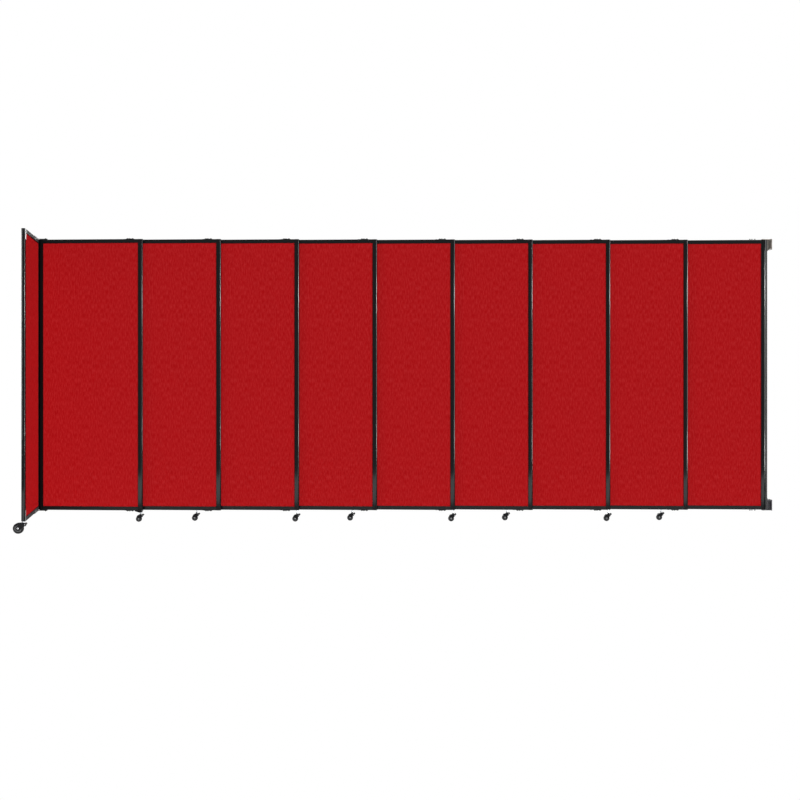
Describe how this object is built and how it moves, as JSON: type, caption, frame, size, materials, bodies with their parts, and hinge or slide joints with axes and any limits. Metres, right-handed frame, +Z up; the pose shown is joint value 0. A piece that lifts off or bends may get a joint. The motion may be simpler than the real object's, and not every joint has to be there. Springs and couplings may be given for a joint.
{
  "type": "sliding partition",
  "caption": "Wall-mounted sliding partition: overlapping fabric panels in black frames that slide past each other on casters, with a hinged end wing.",
  "frame": {"origin": "on the floor under the centre of the bounding box", "axes": "+X along the run towards the wall, +Y to the back, +Z up; the wing points to -Y"},
  "size_m": [4.789, 0.6793, 1.8391],
  "materials": {
    "frame_aluminium": "black anodised, satin",
    "red_fabric": "woven, matt",
    "bracket_steel": "black powder coat",
    "wall_steel": "dark grey powder coat",
    "bright_steel": "zinc plated",
    "caster_black": "black, satin",
    "wheel_rubber": "matt",
    "lever_plastic": "satin"
  },
  "bodies": {
    "wall_brackets": {"wall_bracket_upper": "wall_steel", "wall_bracket_lower": "bracket_steel", "wall_post": "bracket_steel"},
    "panel_1": {"panel_1_frame": "frame_aluminium", "panel_1_board": "red_fabric", "slide_bracket_1": "bracket_steel", "wing_hinge_plates": "bracket_steel"},
    "panel_2": {"panel_2_frame": "frame_aluminium", "panel_2_board": "red_fabric", "slide_bracket_2": "bracket_steel"},
    "panel_3": {"panel_3_frame": "frame_aluminium", "panel_3_board": "red_fabric", "slide_bracket_3": "bracket_steel"},
    "panel_4": {"panel_4_frame": "frame_aluminium", "panel_4_board": "red_fabric", "slide_bracket_4": "bracket_steel"},
    "panel_5": {"panel_5_frame": "frame_aluminium", "panel_5_board": "red_fabric", "slide_bracket_5": "bracket_steel"},
    "panel_6": {"panel_6_frame": "frame_aluminium", "panel_6_board": "red_fabric", "slide_bracket_6": "bracket_steel"},
    "panel_7": {"panel_7_frame": "frame_aluminium", "panel_7_board": "red_fabric", "slide_bracket_7": "bracket_steel"},
    "panel_8": {"panel_8_frame": "frame_aluminium", "panel_8_board": "red_fabric", "slide_bracket_8": "bracket_steel"},
    "panel_9": {"panel_9_frame": "frame_aluminium", "panel_9_board": "red_fabric"},
    "wing": {"wing_frame": "frame_aluminium", "wing_board": "red_fabric", "wing_hinge_straps": "bracket_steel"},
    "caster_1_swivel": {"caster_1_fork": "caster_black"},
    "caster_1_roll": {"caster_1_wheel": "wheel_rubber"},
    "caster_1_lever": {"caster_1_brake": "lever_plastic"},
    "caster_2_swivel": {"caster_2_fork": "caster_black"},
    "caster_2_roll": {"caster_2_wheel": "wheel_rubber"},
    "caster_2_lever": {"caster_2_brake": "lever_plastic"},
    "caster_3_swivel": {"caster_3_fork": "caster_black"},
    "caster_3_roll": {"caster_3_wheel": "wheel_rubber"},
    "caster_3_lever": {"caster_3_brake": "lever_plastic"},
    "caster_4_swivel": {"caster_4_fork": "caster_black"},
    "caster_4_roll": {"caster_4_wheel": "wheel_rubber"},
    "caster_4_lever": {"caster_4_brake": "lever_plastic"},
    "caster_5_swivel": {"caster_5_fork": "caster_black"},
    "caster_5_roll": {"caster_5_wheel": "wheel_rubber"},
    "caster_5_lever": {"caster_5_brake": "lever_plastic"},
    "caster_6_swivel": {"caster_6_fork": "caster_black"},
    "caster_6_roll": {"caster_6_wheel": "wheel_rubber"},
    "caster_6_lever": {"caster_6_brake": "lever_plastic"},
    "caster_7_swivel": {"caster_7_fork": "caster_black"},
    "caster_7_roll": {"caster_7_wheel": "wheel_rubber"},
    "caster_7_lever": {"caster_7_brake": "lever_plastic"},
    "caster_8_swivel": {"caster_8_fork": "caster_black"},
    "caster_8_roll": {"caster_8_wheel": "wheel_rubber"},
    "caster_8_lever": {"caster_8_brake": "lever_plastic"},
    "wing_caster_swivel": {"wing_caster_fork": "caster_black"},
    "wing_caster_roll": {"wing_caster_wheel": "wheel_rubber"},
    "wing_caster_lever": {"wing_caster_brake": "lever_plastic"}
  },
  "joints": [
    {"name": "wall_hinge", "type": "hinge", "parent": "wall_brackets", "child": "panel_9", "pos_m": [2.34578, 0.27525, 1.829], "axis": [0, 0, 1], "range_deg": [-86, 30]},
    {"name": "panel_8_slide", "type": "slide", "parent": "panel_9", "child": "panel_8", "axis": [0.9972, -0.0754, 0], "range_m": [0, 0.479]},
    {"name": "panel_7_slide", "type": "slide", "parent": "panel_8", "child": "panel_7", "axis": [0.9972, -0.0754, 0], "range_m": [0, 0.479]},
    {"name": "panel_6_slide", "type": "slide", "parent": "panel_7", "child": "panel_6", "axis": [0.9972, -0.0754, 0], "range_m": [0, 0.479]},
    {"name": "panel_5_slide", "type": "slide", "parent": "panel_6", "child": "panel_5", "axis": [0.9972, -0.0754, 0], "range_m": [0, 0.479]},
    {"name": "panel_4_slide", "type": "slide", "parent": "panel_5", "child": "panel_4", "axis": [0.9972, -0.0754, 0], "range_m": [0, 0.479]},
    {"name": "panel_3_slide", "type": "slide", "parent": "panel_4", "child": "panel_3", "axis": [0.9972, -0.0754, 0], "range_m": [0, 0.479]},
    {"name": "panel_2_slide", "type": "slide", "parent": "panel_3", "child": "panel_2", "axis": [0.9972, -0.0754, 0], "range_m": [0, 0.479]},
    {"name": "panel_1_slide", "type": "slide", "parent": "panel_2", "child": "panel_1", "axis": [0.9972, -0.0754, 0], "range_m": [0, 0.479]},
    {"name": "wing_hinge", "type": "hinge", "parent": "panel_1", "child": "wing", "pos_m": [-2.38178, 0.32696, 1.829], "axis": [0, 0, 1], "range_deg": [-210, 8]},
    {"name": "caster_1_swivel", "type": "hinge", "parent": "panel_1", "child": "caster_1_swivel", "pos_m": [-1.69773, 0.27525, 0.074], "axis": [0, 0, 1], "continuous": true},
    {"name": "caster_1_spin", "type": "hinge", "parent": "caster_1_swivel", "child": "caster_1_roll", "pos_m": [-1.71073, 0.27525, 0.019], "axis": [0, 1, 0], "continuous": true},
    {"name": "caster_1_brake_tilt", "type": "hinge", "parent": "caster_1_swivel", "child": "caster_1_lever", "pos_m": [-1.68823, 0.27525, 0.04], "axis": [0, 1, 0], "range_deg": [0, 10]},
    {"name": "caster_2_swivel", "type": "hinge", "parent": "panel_3", "child": "caster_2_swivel", "pos_m": [-1.34358, 0.32489, 0.074], "axis": [0, 0, 1], "continuous": true},
    {"name": "caster_2_spin", "type": "hinge", "parent": "caster_2_swivel", "child": "caster_2_roll", "pos_m": [-1.35658, 0.32489, 0.019], "axis": [0, 1, 0], "continuous": true},
    {"name": "caster_2_brake_tilt", "type": "hinge", "parent": "caster_2_swivel", "child": "caster_2_lever", "pos_m": [-1.33408, 0.32489, 0.04], "axis": [0, 1, 0], "range_deg": [0, 10]},
    {"name": "caster_3_swivel", "type": "hinge", "parent": "panel_3", "child": "caster_3_swivel", "pos_m": [-0.68685, 0.27525, 0.074], "axis": [0, 0, 1], "continuous": true},
    {"name": "caster_3_spin", "type": "hinge", "parent": "caster_3_swivel", "child": "caster_3_roll", "pos_m": [-0.69985, 0.27525, 0.019], "axis": [0, 1, 0], "continuous": true},
    {"name": "caster_3_brake_tilt", "type": "hinge", "parent": "caster_3_swivel", "child": "caster_3_lever", "pos_m": [-0.67735, 0.27525, 0.04], "axis": [0, 1, 0], "range_deg": [0, 10]},
    {"name": "caster_4_swivel", "type": "hinge", "parent": "panel_5", "child": "caster_4_swivel", "pos_m": [-0.3327, 0.32489, 0.074], "axis": [0, 0, 1], "continuous": true},
    {"name": "caster_4_spin", "type": "hinge", "parent": "caster_4_swivel", "child": "caster_4_roll", "pos_m": [-0.3457, 0.32489, 0.019], "axis": [0, 1, 0], "continuous": true},
    {"name": "caster_4_brake_tilt", "type": "hinge", "parent": "caster_4_swivel", "child": "caster_4_lever", "pos_m": [-0.3232, 0.32489, 0.04], "axis": [0, 1, 0], "range_deg": [0, 10]},
    {"name": "caster_5_swivel", "type": "hinge", "parent": "panel_5", "child": "caster_5_swivel", "pos_m": [0.32402, 0.27525, 0.074], "axis": [0, 0, 1], "continuous": true},
    {"name": "caster_5_spin", "type": "hinge", "parent": "caster_5_swivel", "child": "caster_5_roll", "pos_m": [0.31102, 0.27525, 0.019], "axis": [0, 1, 0], "continuous": true},
    {"name": "caster_5_brake_tilt", "type": "hinge", "parent": "caster_5_swivel", "child": "caster_5_lever", "pos_m": [0.33352, 0.27525, 0.04], "axis": [0, 1, 0], "range_deg": [0, 10]},
    {"name": "caster_6_swivel", "type": "hinge", "parent": "panel_7", "child": "caster_6_swivel", "pos_m": [0.67817, 0.32489, 0.074], "axis": [0, 0, 1], "continuous": true},
    {"name": "caster_6_spin", "type": "hinge", "parent": "caster_6_swivel", "child": "caster_6_roll", "pos_m": [0.66517, 0.32489, 0.019], "axis": [0, 1, 0], "continuous": true},
    {"name": "caster_6_brake_tilt", "type": "hinge", "parent": "caster_6_swivel", "child": "caster_6_lever", "pos_m": [0.68767, 0.32489, 0.04], "axis": [0, 1, 0], "range_deg": [0, 10]},
    {"name": "caster_7_swivel", "type": "hinge", "parent": "panel_7", "child": "caster_7_swivel", "pos_m": [1.3349, 0.27525, 0.074], "axis": [0, 0, 1], "continuous": true},
    {"name": "caster_7_spin", "type": "hinge", "parent": "caster_7_swivel", "child": "caster_7_roll", "pos_m": [1.3219, 0.27525, 0.019], "axis": [0, 1, 0], "continuous": true},
    {"name": "caster_7_brake_tilt", "type": "hinge", "parent": "caster_7_swivel", "child": "caster_7_lever", "pos_m": [1.3444, 0.27525, 0.04], "axis": [0, 1, 0], "range_deg": [0, 10]},
    {"name": "caster_8_swivel", "type": "hinge", "parent": "panel_9", "child": "caster_8_swivel", "pos_m": [1.68905, 0.32489, 0.074], "axis": [0, 0, 1], "continuous": true},
    {"name": "caster_8_spin", "type": "hinge", "parent": "caster_8_swivel", "child": "caster_8_roll", "pos_m": [1.67605, 0.32489, 0.019], "axis": [0, 1, 0], "continuous": true},
    {"name": "caster_8_brake_tilt", "type": "hinge", "parent": "caster_8_swivel", "child": "caster_8_lever", "pos_m": [1.69855, 0.32489, 0.04], "axis": [0, 1, 0], "range_deg": [0, 10]},
    {"name": "wing_caster_swivel", "type": "hinge", "parent": "wing", "child": "wing_caster_swivel", "pos_m": [-2.28443, -0.32441, 0.074], "axis": [0, 0, 1], "continuous": true},
    {"name": "wing_caster_spin", "type": "hinge", "parent": "wing_caster_swivel", "child": "wing_caster_roll", "pos_m": [-2.31443, -0.32441, 0.032], "axis": [0, 1, 0], "continuous": true},
    {"name": "wing_caster_brake_tilt", "type": "hinge", "parent": "wing_caster_swivel", "child": "wing_caster_lever", "pos_m": [-2.27343, -0.32441, 0.054], "axis": [0, 1, 0], "range_deg": [0, 10]}
  ]
}
